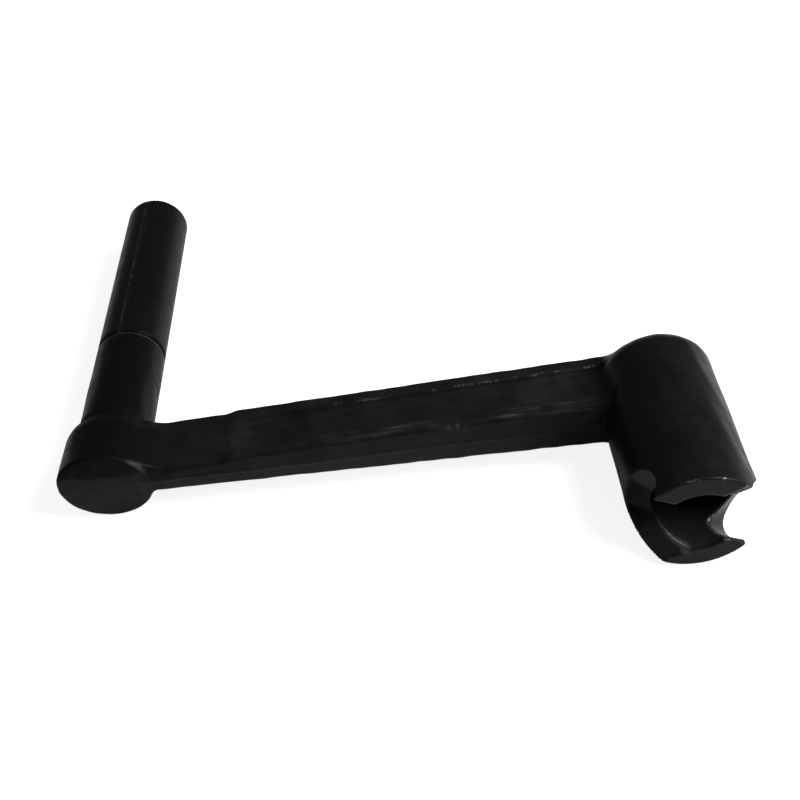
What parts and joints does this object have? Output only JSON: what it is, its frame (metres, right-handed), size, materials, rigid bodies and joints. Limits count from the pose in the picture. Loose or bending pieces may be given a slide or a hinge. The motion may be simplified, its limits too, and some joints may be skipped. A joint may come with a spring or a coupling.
{
  "type": "car starting handle",
  "caption": "Forged cranking handle with a tapering I-section arm, a hooked two-jaw claw in a bored barrel and a turning tube grip, for starting a car engine by hand.",
  "frame": {"origin": "on the bore's axis, in the arm's middle plane", "axes": "-Y out of the claw's mouth, along the bore; +Y along the grip; the grip's axis is at negative X; Z across the thickness of the arm"},
  "size_m": [0.2615, 0.2422, 0.046],
  "materials": {
    "black_paint": "semi-gloss black paint over forged steel, worn to the metal on the claw and on the arm's edges",
    "bare_steel": "turned steel, dulled by handling"
  },
  "bodies": {
    "crank": {"crank_forging": "black_paint", "grip_spindle": "bare_steel", "thrust_washer": "bare_steel", "end_washer": "bare_steel"},
    "grip": {"grip_sleeve": "black_paint"}
  },
  "joints": [
    {"name": "grip_spin", "type": "hinge", "parent": "crank", "child": "grip", "pos_m": [-0.22, 0.1176, 0], "axis": [0, 1, 0], "continuous": true}
  ]
}
